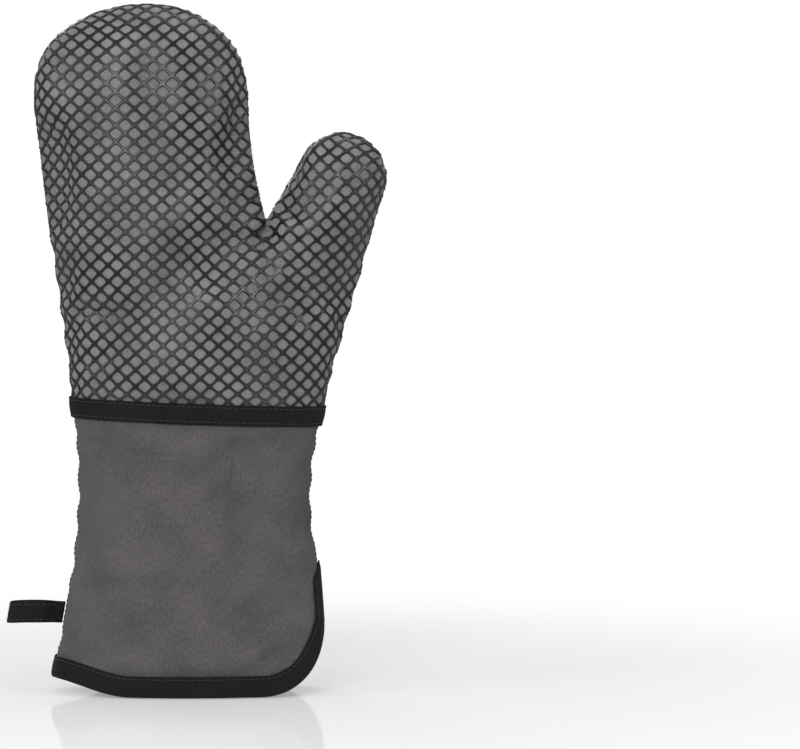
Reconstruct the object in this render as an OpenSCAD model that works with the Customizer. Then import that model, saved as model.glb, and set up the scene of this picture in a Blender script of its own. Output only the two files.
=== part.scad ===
// Long quilted oven mitt that stands on its open cuff, finger tips up.
// Front and back are alike. The thumb is on the +X side and the hanging loop on the -X side.
// The palm faces -Y. Lengths are in millimetres.

/* [Overall] */
// Height of the whole mitt, from the hem to the finger tips
mitt_length = 370; // [320:5:450]
// Height of the wrist seam, where the cuff meets the hand
cuff_length = 152; // [125:1:185]

/* [Hand] */
// Width across the fingers
hand_width = 116; // [96:1:140]
// Thickness of the puffed hand, front to back
hand_depth = 58; // [48:1:72]
// How far the middle of the fingers sits from the cuff's middle, on the side away from the thumb
finger_shift = 28; // [20:1:36]
// Lean of the fingers away from the thumb, in degrees
finger_lean = 4; // [0:1:8]
// Height of the rounded end over the fingers
finger_dome = 51; // [42:1:60]

/* [Thumb] */
// Height of the notch between thumb and fingers
crotch_height = 254; // [215:1:300]
// Distance of the notch from the cuff's middle
crotch_offset = 39.5; // [33:0.5:46]
// Width across the thumb
thumb_width = 49; // [42:1:58]
// Thickness of the puffed thumb, front to back
thumb_depth = 44; // [38:1:52]
// Lean of the thumb away from the fingers, in degrees
thumb_lean = 22; // [14:1:30]
// Distance of the thumb end's middle from the notch, sideways
thumb_out = 40.5; // [34:0.5:48]
// Distance of the thumb end's middle from the notch, upwards
thumb_up = 24; // [16:1:34]
// Half width of the palm at the notch's height, on the thumb's side
thumb_root = 98; // [84:1:112]
// Half width of the palm at the notch's height, on the side of the fingers
palm_root = 79; // [68:1:92]

/* [Cuff] */
// Width of the open end
hem_width = 151; // [128:1:180]
// Thickness of the open end, front to back
hem_depth = 70; // [58:1:84]
// How far the open end is shifted away from the thumb
hem_shift = 3.5; // [0:0.5:8]
// Height at which the cuff starts to flare out to the hem
flare_height = 62; // [50:1:75]
// Width of the cuff where the flare starts
flare_width = 136; // [116:1:160]
// Width of the cuff at its waist
waist_width = 128; // [108:1:150]
// Thickness of the cuff at its waist, front to back
waist_depth = 58; // [48:1:70]
// Height of the waist
waist_height = 106; // [88:1:120]
// Width at the wrist seam
wrist_width = 136; // [114:1:160]
// How much higher the wrist seam is on the loop's side than on the thumb's
wrist_rise = 5; // [0:0.5:10]
// How much the hem lifts at the loop's side
hem_rise = 8; // [0:0.5:10]
// Width of the rounded corner beside the slit
corner_width = 34; // [28:1:40]
// Height of the rounded corner beside the slit
corner_height = 38; // [30:1:45]
// Height of the slit's top
slit_height = 63; // [53:1:75]
// Half the slit's opening at its foot
slit_spread = 6; // [5:0.5:9]

/* [Layers] */
// Thickness of the silicone grip
silicone_t = 0.8; // [0.5:0.1:1.5]
// Thickness of the outer cloth
shell_t = 1; // [0.8:0.1:1.6]
// Thickness of the batting
batting_t = 5.5; // [4:0.25:7]
// Thickness of the batting where the hem binding squeezes it
hem_batting_t = 2.5; // [2:0.25:3.5]
// Thickness of the lining cloth
lining_t = 1.2; // [0.8:0.1:1.8]
// Half the gap along the side seam
seam_gap = 0.35; // [0.3:0.05:0.5]

/* [Trim] */
// Thickness of the folded binding tape
binding_t = 1; // [0.7:0.1:1.5]
// Height of the hem binding's band
hem_band = 11.5; // [9:0.5:15]
// Height of the band over the wrist seam
wrist_band = 11; // [9:0.5:15]
// Gap between the hem binding and the cloth it wraps
binding_play = 0.5; // [0.4:0.05:0.8]
// Gap between the wrist band and the cloth it lies on
band_play = 0.3; // [0.2:0.05:0.5]
// Distance of each stitch row from the edge of its tape
stitch_inset = 1.6; // [1.2:0.1:2.5]
// Thickness of the sewing thread
thread_d = 0.5; // [0.3:0.1:0.6]
// Gap between the thread and the tape it lies on
thread_play = 0.15; // [0.12:0.01:0.2]

/* [Hanging loop] */
// How far the loop reaches out from the side seam
loop_length = 31; // [25:1:40]
// Width of the loop's tape
loop_width = 11.5; // [9:0.5:15]
// Thickness of the loop's tape
loop_t = 1.3; // [1:0.1:2]
// Gap inside the loop, at its widest
loop_eye = 7.5; // [6:0.5:10]
// Height of the middle of the loop
loop_height = 43; // [36:1:50]
// Gap between the loop's foot and the seam that holds it
loop_play = 0.45; // [0.4:0.05:0.6]

/* [Hidden] */

grey_cloth = [0.40, 0.39, 0.385];
black_tape = [0.09, 0.09, 0.10];
black_thread = [0.05, 0.05, 0.055];
dark_silicone = [0.20, 0.20, 0.20];
white_batting = [0.88, 0.87, 0.84];
lining_grey = [0.52, 0.51, 0.50];

finger_cols = 12;   // columns of facets over the fingers' side of the palm
thumb_cols = 8;     // and over the thumb's side
cols = finger_cols + thumb_cols;
palm_rows = 5;      // rows of facets between wrist seam and notch
finger_rows = 3;    // between notch and finger dome
finger_dome_rows = 5;
thumb_rows = 2;
thumb_dome_rows = 4;

merge_height = 50;  // height over which the two lobes at the notch blend into one palm
notch_drop = 1.6;   // an inner layer's notch is this many insets lower
dome_power = 2.25;  // fullness of the rounded end over the fingers
squeeze_height = 26; // height over which the batting swells to its full thickness
slot_width = 2.2;   // half the slit's opening just under its top
hem_foot = binding_t + binding_play; // height of the cloth's cut edge above the table
thread_lift = thread_d / 2 + thread_play; // height of a thread's middle above its tape

// Layers, counted inwards: 0 is the silicone's outer face, 1 the cloth's, 2 the batting's,
// 3 the lining's and 4 the lining's inner face.
silicone_face = 0;
cloth_face = 1;
batting_face = 2;
lining_face = 3;
inner_face = 4;

finger_top = mitt_length - finger_dome;      // height where the finger dome starts
split = (crotch_offset + palm_root) / (thumb_root + palm_root); // the notch's place across the palm
thumb_mid = [crotch_offset + thumb_out, crotch_height + thumb_up];
slot_top = slit_height - slot_width;

// Half widths and half depths at their heights, from the hem to the fingers
left_edge = [[0, -hem_shift - hem_width / 2], [flare_height, -flare_width / 2],
             [waist_height, -waist_width / 2], [cuff_length, 2 - wrist_width / 2],
             [crotch_height, -palm_root], [finger_top, -finger_shift - hand_width / 2]];
right_edge = [[0, hem_width / 2 - hem_shift], [flare_height, flare_width / 2],
              [waist_height, waist_width / 2], [cuff_length, 2 + wrist_width / 2],
              [crotch_height, thumb_root], [crotch_height + thumb_up, thumb_root]];
half_depth = [[0, hem_depth / 2], [flare_height, (hem_depth + waist_depth) / 4],
              [waist_height, waist_depth / 2], [cuff_length, waist_depth / 2],
              [crotch_height, hand_depth / 2], [finger_top, hand_depth / 2]];

// ---- small maths ----
function mix(a, b, t) = a + (b - a) * t;
function smooth(t) = let (c = min(1, max(0, t))) c * c * (3 - 2 * c);
function lobe(t) = (1 - cos(180 * t)) / 2;
function arch(s) = 2 * sqrt(max(0, s * (1 - s)));
function unit(v) = v / max(norm(v), 1e-9);

// Smooth curve through stations [[height, value], ...]
function station(s, z, i = 0) = (i >= len(s) - 2 || z < s[i + 1][0]) ? i : station(s, z, i + 1);
function slope(s, i) =
    let (a = s[max(i - 1, 0)], b = s[min(i + 1, len(s) - 1)]) (b[1] - a[1]) / (b[0] - a[0]);
function curve(s, z) =
    let (i = station(s, z), h = s[i + 1][0] - s[i][0], t = min(1, max(0, (z - s[i][0]) / h)),
         a = s[i][1], b = s[i + 1][1], m = h * slope(s, i), n = h * slope(s, i + 1))
    a + t * m + t * t * (3 * (b - a) - 2 * m - n) + t * t * t * (2 * (a - b) + m + n);

// ---- the mitt's surfaces ----
// Distance of a layer's face inside the outermost one. Faces between two layers take a fraction.
function batting_at(z) = mix(hem_batting_t, batting_t, smooth((z - hem_foot) / squeeze_height));
function whole_inset(k, z) =
    k <= 0 ? k : k == 1 ? silicone_t : k == 2 ? silicone_t + shell_t :
    silicone_t + shell_t + batting_at(z) + (k == 3 ? 0 : lining_t);
function inset(k, z) =
    k <= 0 ? k : mix(whole_inset(floor(k), z), whole_inset(ceil(k), z), k - floor(k));

function across(c) =
    c <= finger_cols ? split * lobe(c / finger_cols)
                     : split + (1 - split) * lobe((c - finger_cols) / thumb_cols);

// Height of the cloth's cut edge at the hem, the wrist seam and the notch
function corner_rise(s) =
    let (q = min(1, max(0, 1 - (1 - s) * hem_width / corner_width)))
    (corner_height - hem_foot) * (1 - sqrt(1 - q * q));
function hem_at(s) = hem_foot + hem_rise * (1 - smooth(s / 0.3)) + corner_rise(s);
function wrist_at(s) = cuff_length + wrist_rise * (0.5 - s);
function notch_at(k) = crotch_height - notch_drop * inset(k, crotch_height);

// Half the gap between front and back at the slit
function slit_gap(z) =
    z > slit_height ? 0 :
    z > slot_top ? slot_width * (slit_height - z) / (slit_height - slot_top) :
    mix(slit_spread, slot_width, z / slot_top);

// Point of face k on the front, at the share s across and the height z. The cross-section is one
// lobe at the cuff and two at the notch.
function trunk_point(k, s, z) =
    let (o = inset(k, z), l = curve(left_edge, z) + o, r = curve(right_edge, z) - o,
         notch = notch_at(k), two = smooth((z - notch + merge_height) / merge_height),
         part = s < split ? s / split : (s - split) / (1 - split),
         lobe_d = (s < split ? hand_depth : thumb_depth) / 2 - o,
         one_d = curve(half_depth, z) - o,
         d = sqrt((1 - two) * pow(one_d * arch(s), 2) + two * pow(lobe_d * arch(part), 2)))
    [mix(l, r, s), -seam_gap - d - slit_gap(z) * smooth((s - 0.7) / 0.3), z];

cuff_steps =
    let (low = hem_at(1), high = wrist_at(1))
    [0, (slot_top - low) / (high - low) / 2, (slot_top - low) / (high - low),
     (slit_height - low) / (high - low), 0.5, 0.75, 1];
cuff_rows = len(cuff_steps) - 1;

function trunk_row_z(k, row, s) =
    row <= cuff_rows ? mix(hem_at(s), wrist_at(s), cuff_steps[row])
                     : mix(wrist_at(s), notch_at(k), (row - cuff_rows) / palm_rows);
function trunk_row(k, row) =
    [for (c = [0:cols]) trunk_point(k, across(c), trunk_row_z(k, row, across(c)))];

// Unit half disc with its grid lines bent to the rim; power over 2 fills out the corners
function disc(u, t, power) =
    let (p = [u * sqrt(1 - t * t / 2), t * sqrt(1 - u * u / 2)], r = norm(p),
         f = r < 1e-6 ? 1 : r / pow(pow(abs(p[0]), power) + pow(abs(p[1]), power), 1 / power))
    [p[0] * f, p[1] * f, sqrt(max(0, 1 - r * r))];

function finger_row(k, row) =
    let (o = inset(k, finger_top), foot = notch_at(k), half = hand_width / 2 - o,
         notch_x = trunk_point(k, split, foot)[0], end_x = half - finger_shift)
    [for (c = [0:finger_cols])
        let (u = -cos(180 * c / finger_cols))
        row <= finger_rows
        ? let (t = row / finger_rows, z = mix(foot, finger_top, t),
               l = curve(left_edge, z) + o, r = mix(end_x, notch_x, pow(1 - t, 2)),
               x = mix(l, r, (1 + u) / 2))
          [x, -seam_gap - (hand_depth / 2 - o) * sqrt(max(0, 1 - u * u)),
           z + (x - (l + r) / 2) * sin(finger_lean * t)]
        : let (p = disc(u, sin(90 * (row - finger_rows) / finger_dome_rows), dome_power),
               x = half * p[0], z = (finger_dome - o) * p[1])
          [x * cos(finger_lean) - z * sin(finger_lean) - finger_shift,
           -seam_gap - (hand_depth / 2 - o) * p[2],
           finger_top + x * sin(finger_lean) + z * cos(finger_lean)]];

function thumb_row(k, row) =
    let (foot = notch_at(k), o = inset(k, crotch_height), base_l = trunk_point(k, split, foot),
         base_r = trunk_point(k, 1, foot), half = thumb_width / 2 - o,
         side = [cos(thumb_lean), -sin(thumb_lean)], up = [sin(thumb_lean), cos(thumb_lean)])
    [for (c = [0:thumb_cols])
        let (u = -cos(180 * c / thumb_cols))
        row <= thumb_rows
        ? let (t = row / thumb_rows, end = thumb_mid + half * u * side,
               base = [mix(base_l[0], base_r[0], (1 + u) / 2), foot], p = mix(base, end, t))
          [p[0], -seam_gap - (thumb_depth / 2 - o) * sqrt(max(0, 1 - u * u)), p[1]]
        : let (p = disc(u, sin(90 * (row - thumb_rows) / thumb_dome_rows), 2),
               q = thumb_mid + half * (p[0] * side + p[1] * up))
          [q[0], -seam_gap - (thumb_depth / 2 - o) * p[2], q[1]]];

// ---- closed solids between two faces ----
function join_rows(rows) = [for (row = rows) each row];
function face_points(k, first, last, hand) =
    concat(join_rows([for (i = [first:last]) trunk_row(k, i)]),
           hand ? join_rows([for (i = [1:finger_rows + finger_dome_rows]) finger_row(k, i)]) : [],
           hand ? join_rows([for (i = [1:thumb_rows + thumb_dome_rows]) thumb_row(k, i)]) : []);

function quad(a, b, c, d) = [[a, b, c], [a, c, d]];
function cells(grid) =
    [for (i = [0:len(grid) - 2]) for (j = [0:len(grid[0]) - 2])
        each quad(grid[i][j], grid[i + 1][j], grid[i + 1][j + 1], grid[i][j + 1])];

// Point numbers of the rows, patch by patch
function trunk_grid(n) = [for (i = [0:n - 1]) [for (c = [0:cols]) i * (cols + 1) + c]];
function finger_grid(n) =
    [for (i = [0:finger_rows + finger_dome_rows]) [for (c = [0:finger_cols])
        i == 0 ? (n - 1) * (cols + 1) + c : n * (cols + 1) + (i - 1) * (finger_cols + 1) + c]];
function thumb_grid(n) =
    let (start = n * (cols + 1) + (finger_rows + finger_dome_rows) * (finger_cols + 1))
    [for (i = [0:thumb_rows + thumb_dome_rows]) [for (c = [0:thumb_cols])
        i == 0 ? (n - 1) * (cols + 1) + finger_cols + c : start + (i - 1) * (thumb_cols + 1) + c]];

function column(grid, c) = [for (row = grid) row[c]];
function backwards(list) = [for (i = [len(list) - 1:-1:0]) list[i]];
function tail(list) = [for (i = [1:1:len(list) - 1]) list[i]];

// The face's rim, anticlockwise seen from the front
function rim(n, hand) =
    let (t = trunk_grid(n), top = t[n - 1])
    concat(t[0], tail(column(t, cols)),
           hand ? let (h = thumb_grid(n), f = finger_grid(n), ht = h[len(h) - 1], ft = f[len(f) - 1])
                  concat(tail(column(h, thumb_cols)), tail(backwards(ht)),
                         tail(backwards(column(h, 0))), tail(column(f, finger_cols)),
                         tail(backwards(ft)), tail(backwards(column(f, 0))))
                : tail(backwards(top)),
           [for (i = [n - 2:-1:1]) t[i][0]]);

// Solid between faces outer and inner, from trunk row first to row last, with or without the hand
module panel(outer, inner, first, last, hand) {
    n = last - first + 1;
    out = face_points(outer, first, last, hand);
    shift = len(out);
    skin = concat(cells(trunk_grid(n)), hand ? cells(finger_grid(n)) : [],
                  hand ? cells(thumb_grid(n)) : []);
    edge = rim(n, hand);
    faces = concat([for (i = [0:len(edge) - 1])
                       let (a = edge[i], b = edge[(i + 1) % len(edge)])
                       each quad(a, b, b + shift, a + shift)],
                   [for (f = skin) [f[2] + shift, f[1] + shift, f[0] + shift]],
                   [for (f = skin) [f[0], f[1], f[2]]]);
    polyhedron(points = concat(out, face_points(inner, first, last, hand)), faces = faces);
}

module back() { mirror([0, 1, 0]) children(); }

// ---- tubes and tapes that follow a path ----
function flip_y(ring) = [for (p = ring) [p[0], -p[1], p[2]]];
// Closed or open sweep: rings is a list of rings with the same number of points
module sweep(rings, closed) {
    n = len(rings);
    m = len(rings[0]);
    walls = [for (i = [0:n - (closed ? 1 : 2)]) for (j = [0:m - 1])
        let (a = i * m, b = ((i + 1) % n) * m, k = (j + 1) % m)
        each quad(a + j, a + k, b + k, b + j)];
    ends = closed ? [] : [[for (j = [m - 1:-1:0]) j], [for (j = [0:m - 1]) (n - 1) * m + j]];
    polyhedron(points = join_rows(rings), faces = concat(walls, ends));
}

// Thread along points, each with its sideways direction
module thread(points, sides, closed) {
    n = len(points);
    sweep([for (i = [0:n - 1])
        let (a = points[closed ? (i + n - 1) % n : max(i - 1, 0)],
             b = points[closed ? (i + 1) % n : min(i + 1, n - 1)],
             along = unit(b - a), up = unit(cross(sides[i], along)))
        [for (j = [0:5]) points[i] + thread_d / 2 * (cos(60 * j) * sides[i] + sin(60 * j) * up)]],
        closed);
}

// ---- the hem binding's path ----
// Each station is [angle round the cross-section, height]; 0 is the loop's side seam, 180 the slit
hem_stations = concat(
    [for (c = [0:cols]) let (s = across(c)) [acos(1 - 2 * s), hem_at(s)]],
    [[180, mix(hem_at(1), slot_top, 0.5)], [180, slot_top], [180, slit_height - 0.7]]);

function outer_point(o, angle, z) =
    let (l = curve(left_edge, z) + o, r = curve(right_edge, z) - o, s = (1 - cos(angle)) / 2)
    [mix(l, r, s), -seam_gap - (curve(half_depth, z) - o) * sin(angle)
                   - slit_gap(z) * smooth((s - 0.7) / 0.3), z];
// Millimetres along the cross-section for each degree at a station
function stretch(angle, z) =
    norm([(curve(right_edge, z) - curve(left_edge, z)) / 2 * sin(angle),
          curve(half_depth, z) * cos(angle)]) * PI / 180;

// Point of the binding: o inwards from the outermost face, h into the cloth from its cut edge
function hem_point(i, o, h) =
    let (n = len(hem_stations), at = hem_stations[i], scale = stretch(at[0], at[1]),
         before = hem_stations[max(i - 1, 0)], after = hem_stations[min(i + 1, n - 1)],
         path = i == 0 ? [1, 0] : unit([(after[0] - before[0]) * scale, after[1] - before[1]]))
    outer_point(o, at[0] - h * path[1] / scale, at[1] + h * path[0]);

// The tape's cross-section as [o, h] pairs: down the outside, under the edge and up the inside
cloth_out = silicone_t - binding_play;
cloth_in = silicone_t + shell_t + hem_batting_t + lining_t + binding_play;
leg = hem_band - hem_foot;
fold = binding_t / 2;
tape_section = [
    [cloth_out - binding_t, leg], [cloth_out - binding_t, leg / 2],
    [cloth_out - binding_t, -binding_play], [cloth_out - binding_t + fold, -hem_foot],
    [cloth_in + binding_t - fold, -hem_foot], [cloth_in + binding_t, -binding_play],
    [cloth_in + binding_t, leg / 2], [cloth_in + binding_t, leg],
    [cloth_in, leg], [cloth_in, leg / 2], [cloth_in, -binding_play],
    [cloth_out, -binding_play], [cloth_out, leg / 2], [cloth_out, leg]];

// The batting has swollen at the top of the inner leg, so that leg follows it
function leg_inset(o, h, z) = o < cloth_out + 1 ? o : o + batting_at(z + max(h, 0)) - hem_batting_t;
function hem_ring(i) =
    [for (p = tape_section) hem_point(i, leg_inset(p[0], p[1], hem_stations[i][1]), p[1])];

function slit_ring() =
    [for (p = tape_section)
        let (q = outer_point(leg_inset(p[0], 0, slit_height), 180, slit_height + p[1]))
        [q[0], 0, q[2]]];
function seam_ring() = [for (p = hem_ring(0)) [p[0], 0, p[2]]];

function hem_row(h) =
    [for (i = [1:len(hem_stations) - 1]) hem_point(i, cloth_out - binding_t - thread_lift, h)];
function outwards(p) =
    let (z = p[2], mid = (curve(left_edge, z) + curve(right_edge, z)) / 2,
         a = (curve(right_edge, z) - curve(left_edge, z)) / 2, b = curve(half_depth, z))
    unit([(p[0] - mid) / (a * a), p[1] / (b * b), 0]);

// ---- the loop ----
// Its foot is a half round on the hinge line, which follows the side seam.
foot_r = loop_t + 0.05;
seam_x = curve(left_edge, loop_height) + silicone_t;
hinge_x = seam_x - loop_play - foot_r;
loop_lean = (curve(left_edge, loop_height + loop_width / 2)
             - curve(left_edge, loop_height - loop_width / 2)) / loop_width;
loop_mid = (loop_eye + loop_t) / 2;
loop_x = seam_x - loop_length + loop_t / 2;  // middle of the tape at the loop's far end

// Stations of one leg, from its foot to the far end, as [x, y, half thickness]
loop_leg = concat(
    [for (f = [0.92, 0.6, 0])
        let (out = 0.98 * foot_r * sqrt(1 - f * f), in = foot_r - loop_t)
        [hinge_x + f * foot_r, (out + in) / 2, (out - in) / 2]],
    [[hinge_x - 4, loop_t / 2 + 0.4, loop_t / 2], [hinge_x - 10, 0.85 * loop_mid, loop_t / 2]],
    [for (a = [0:15:90]) [loop_x + loop_mid * (1 - sin(a)), loop_mid * cos(a), loop_t / 2]]);
function leg_out(i) =
    let (n = len(loop_leg), a = loop_leg[max(i - 1, 0)], b = loop_leg[min(i + 1, n - 1)],
         d = i < 3 ? [-1, 0] : i == n - 1 ? [0, -1] : unit([b[0] - a[0], b[1] - a[1]]))
    [d[1], -d[0]];
// Point above station i of the leg by the given share of its half thickness, plus more, at height z
function leg_point(i, share, more, z) =
    let (p = loop_leg[i], n = leg_out(i), d = share * p[2] + more)
    [p[0] + d * n[0] + loop_lean * (z - loop_height), p[1] + d * n[1], z];

// ---- sub-parts ----
module silicone_grip() {
    color(dark_silicone) panel(silicone_face, cloth_face, cuff_rows, cuff_rows + palm_rows, true);
}
module hand_shell() {
    color(grey_cloth) panel(cloth_face, batting_face, cuff_rows, cuff_rows + palm_rows, true);
}
module cuff_panel() { color(grey_cloth) panel(cloth_face, batting_face, 0, cuff_rows, false); }
module batting() {
    color(white_batting) panel(batting_face, lining_face, 0, cuff_rows + palm_rows, true);
}
module lining() {
    color(lining_grey) panel(lining_face, inner_face, 0, cuff_rows + palm_rows, true);
}

module wrist_binding() {
    color(black_tape)
        sweep([for (c = [0:cols])
            let (s = across(c), z = wrist_at(s), top = z + wrist_band / 2, foot = z - wrist_band / 2,
                 o = -band_play - binding_t)
            [trunk_point(o, s, foot), trunk_point(o, s, z), trunk_point(o, s, top),
             trunk_point(-band_play, s, top), trunk_point(-band_play, s, z),
             trunk_point(-band_play, s, foot)]], false);
}

module wrist_stitching() {
    color(black_thread)
        for (h = [-1, 1]) {
            rise = h * (wrist_band / 2 - stitch_inset);
            line = [for (c = [1:cols - 1])
                trunk_point(-band_play - binding_t - thread_lift, across(c),
                            wrist_at(across(c)) + rise)];
            thread(line, [for (p = line) outwards(p)], false);
        }
}

module hem_binding() {
    last = len(hem_stations) - 1;
    color(black_tape)
        sweep(concat([seam_ring()], [for (i = [1:last]) hem_ring(i)], [slit_ring()],
                     [for (i = [last:-1:1]) flip_y(hem_ring(i))]), true);
}

module hem_stitching() {
    line = hem_row(leg - stitch_inset);
    seam = hem_point(0, cloth_out - binding_t - thread_lift, leg - stitch_inset);
    slit = outer_point(cloth_out - binding_t - thread_lift, 180, slit_height + leg - stitch_inset);
    ring = concat([[seam[0], 0, seam[2]]], line, [[slit[0], 0, slit[2]]],
                  flip_y(backwards(line)));
    color(black_thread) thread(ring, [for (p = ring) outwards(p)], true);
}

// Runs between front and back, round the mitt from the loop's side to the slit
module side_seam_thread() {
    mid = 1.5;
    rows = cuff_rows + palm_rows;
    f = finger_rows + finger_dome_rows;
    t = thumb_rows + thumb_dome_rows;
    line = concat(
        [for (i = [1:rows - 1]) trunk_row(mid, i)[0]],
        [for (i = [0:f - 1]) i == 0 ? trunk_row(mid, rows)[0] : finger_row(mid, i)[0]],
        finger_row(mid, f),
        [for (i = [f - 1:-1:1]) finger_row(mid, i)[finger_cols]],
        [trunk_row(mid, rows)[finger_cols]],
        [for (i = [1:t - 1]) thumb_row(mid, i)[0]],
        thumb_row(mid, t),
        [for (i = [t - 1:-1:1]) thumb_row(mid, i)[thumb_cols]],
        [for (i = [rows:-1:4]) trunk_row(mid, i)[cols]]);
    flat = [for (p = line) [p[0], 0, p[2]]];
    color(black_thread) thread(flat, [for (p = flat) [0, 1, 0]], false);
}

module hanging_loop() {
    low = loop_height - loop_width / 2;
    high = loop_height + loop_width / 2;
    side = [for (i = [0:len(loop_leg) - 1])
        [leg_point(i, 1, 0, low), leg_point(i, 1, 0, high),
         leg_point(i, -1, 0, high), leg_point(i, -1, 0, low)]];
    color(black_tape) sweep(concat(side, [for (r = tail(backwards(side))) flip_y(r)]), false);
}

module loop_stitching() {
    color(black_thread)
        for (h = [-1, 1]) {
            z = loop_height + h * (loop_width / 2 - stitch_inset);
            steps = [3:len(loop_leg) - 1];
            line = [for (i = steps) leg_point(i, 1, thread_lift, z)];
            outs = [for (i = steps) [leg_out(i)[0], leg_out(i)[1], 0]];
            thread(concat(line, flip_y(tail(backwards(line)))),
                   concat(outs, flip_y(tail(backwards(outs)))), false);
        }
}

// The origin is under the middle of the whole mitt, loop included
outermost = face_points(silicone_face, cuff_rows, cuff_rows + palm_rows, true);
loop_end = seam_x - loop_length - loop_lean * loop_width / 2;
mid_x = (max([for (p = outermost) p[0]]) + loop_end) / 2;

translate([-mid_x, 0, 0]) {
    silicone_grip();  // silicone_grip_front
    back() silicone_grip();  // silicone_grip_back
    hand_shell();  // hand_shell_front
    back() hand_shell();  // hand_shell_back
    cuff_panel();  // cuff_panel_front
    back() cuff_panel();  // cuff_panel_back
    batting();  // batting_front
    back() batting();  // batting_back
    lining();  // lining_front
    back() lining();  // lining_back
    wrist_binding();  // wrist_binding_front
    back() wrist_binding();  // wrist_binding_back
    wrist_stitching();  // wrist_stitching_front
    back() wrist_stitching();  // wrist_stitching_back
    hem_binding();
    hem_stitching();
    side_seam_thread();
    hanging_loop();
    loop_stitching();
}
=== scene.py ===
import bpy
import bmesh
import random
from math import sin, cos, acos, pi, radians, sqrt, hypot
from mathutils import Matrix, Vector, noise
from mathutils.bvhtree import BVHTree
from mathutils.interpolate import poly_3d_calc


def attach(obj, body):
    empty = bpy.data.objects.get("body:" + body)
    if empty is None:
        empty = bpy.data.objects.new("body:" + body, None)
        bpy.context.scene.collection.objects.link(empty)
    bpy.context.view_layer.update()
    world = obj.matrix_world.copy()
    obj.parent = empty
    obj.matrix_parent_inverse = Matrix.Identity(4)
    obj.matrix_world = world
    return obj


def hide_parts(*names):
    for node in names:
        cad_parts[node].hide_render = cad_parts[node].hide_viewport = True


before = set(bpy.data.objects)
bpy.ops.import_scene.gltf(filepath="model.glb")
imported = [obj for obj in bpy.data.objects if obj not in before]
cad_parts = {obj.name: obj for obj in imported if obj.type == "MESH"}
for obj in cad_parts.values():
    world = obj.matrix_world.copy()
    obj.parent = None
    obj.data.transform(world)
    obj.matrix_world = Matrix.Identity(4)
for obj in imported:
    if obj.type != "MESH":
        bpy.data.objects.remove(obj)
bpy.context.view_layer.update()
random.seed(7)
mm = 0.001

# camera and room
view = {"centre": (110.4, 171.8), "frameWidth": 433, "distance": 2200, "elevation": 3.0}

cameraData = bpy.data.cameras.new("camera")
camera = bpy.data.objects.new("camera", cameraData)
bpy.context.scene.collection.objects.link(camera)
cameraData.lens = 36 * view["distance"] / view["frameWidth"]
cameraData.clip_end = 20
tilt = radians(view["elevation"])
camera.location = (view["centre"][0] * mm, -view["distance"] * cos(tilt) * mm,
                   (view["centre"][1] + view["distance"] * sin(tilt)) * mm)
camera.rotation_euler = (pi / 2 - tilt, 0, 0)
bpy.context.scene.camera = camera
bpy.context.scene.view_settings.view_transform = "Standard"

lamps = [  # name, place, size, watts
    ("frontLamp", (-0.35, -1.55, 0.85), 0.8, 15.0),
    ("leftLamp", (-1.30, -0.70, 0.75), 0.6, 6.0),
    ("sideLamp", (1.35, -0.75, 0.75), 0.7, 7.0),
    ("backLamp", (-0.7, 1.3, 1.0), 0.8, 5.0),
    ("topLamp", (0.2, 0.1, 1.6), 1.0, 6.0)]
for lampName, place, size, watts in lamps:
    lampData = bpy.data.lights.new(lampName, "AREA")
    lampData.size, lampData.energy = size, watts
    lamp = bpy.data.objects.new(lampName, lampData)
    lamp.location = place
    lamp.rotation_euler = (Vector((0, 0, 0.17)) - Vector(place)).to_track_quat("-Z", "Y").to_euler()
    bpy.context.scene.collection.objects.link(lamp)


def addNode(tree, kind, place=(0, 0), **values):
    node = tree.nodes.new(kind)
    node.location = place
    for key, value in values.items():
        setattr(node, key, value)
    return node


def seenDirectly(tree):  # 1 for rays that should see the white room
    path = addNode(tree, "ShaderNodeLightPath")
    one = addNode(tree, "ShaderNodeMath", operation="MAXIMUM")
    two = addNode(tree, "ShaderNodeMath", operation="MAXIMUM")
    tree.links.new(path.outputs["Is Camera Ray"], one.inputs[0])
    tree.links.new(path.outputs["Is Glossy Ray"], one.inputs[1])
    tree.links.new(one.outputs[0], two.inputs[0])
    tree.links.new(path.outputs["Is Transmission Ray"], two.inputs[1])
    return two.outputs[0]


world = bpy.data.worlds.new("room")
bpy.context.scene.world = world
world.use_nodes = True
roomTree = world.node_tree
roomTree.nodes.clear()
softLight = addNode(roomTree, "ShaderNodeBackground")
softLight.inputs["Strength"].default_value = 0.42
whiteWall = addNode(roomTree, "ShaderNodeBackground")
whiteWall.inputs["Color"].default_value = (1, 1, 1, 1)
roomMix = addNode(roomTree, "ShaderNodeMixShader")
roomOut = addNode(roomTree, "ShaderNodeOutputWorld")
cameraRay = addNode(roomTree, "ShaderNodeLightPath")
roomTree.links.new(cameraRay.outputs["Is Camera Ray"], roomMix.inputs[0])
roomTree.links.new(softLight.outputs[0], roomMix.inputs[1])
roomTree.links.new(whiteWall.outputs[0], roomMix.inputs[2])
roomTree.links.new(roomMix.outputs[0], roomOut.inputs[0])

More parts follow.
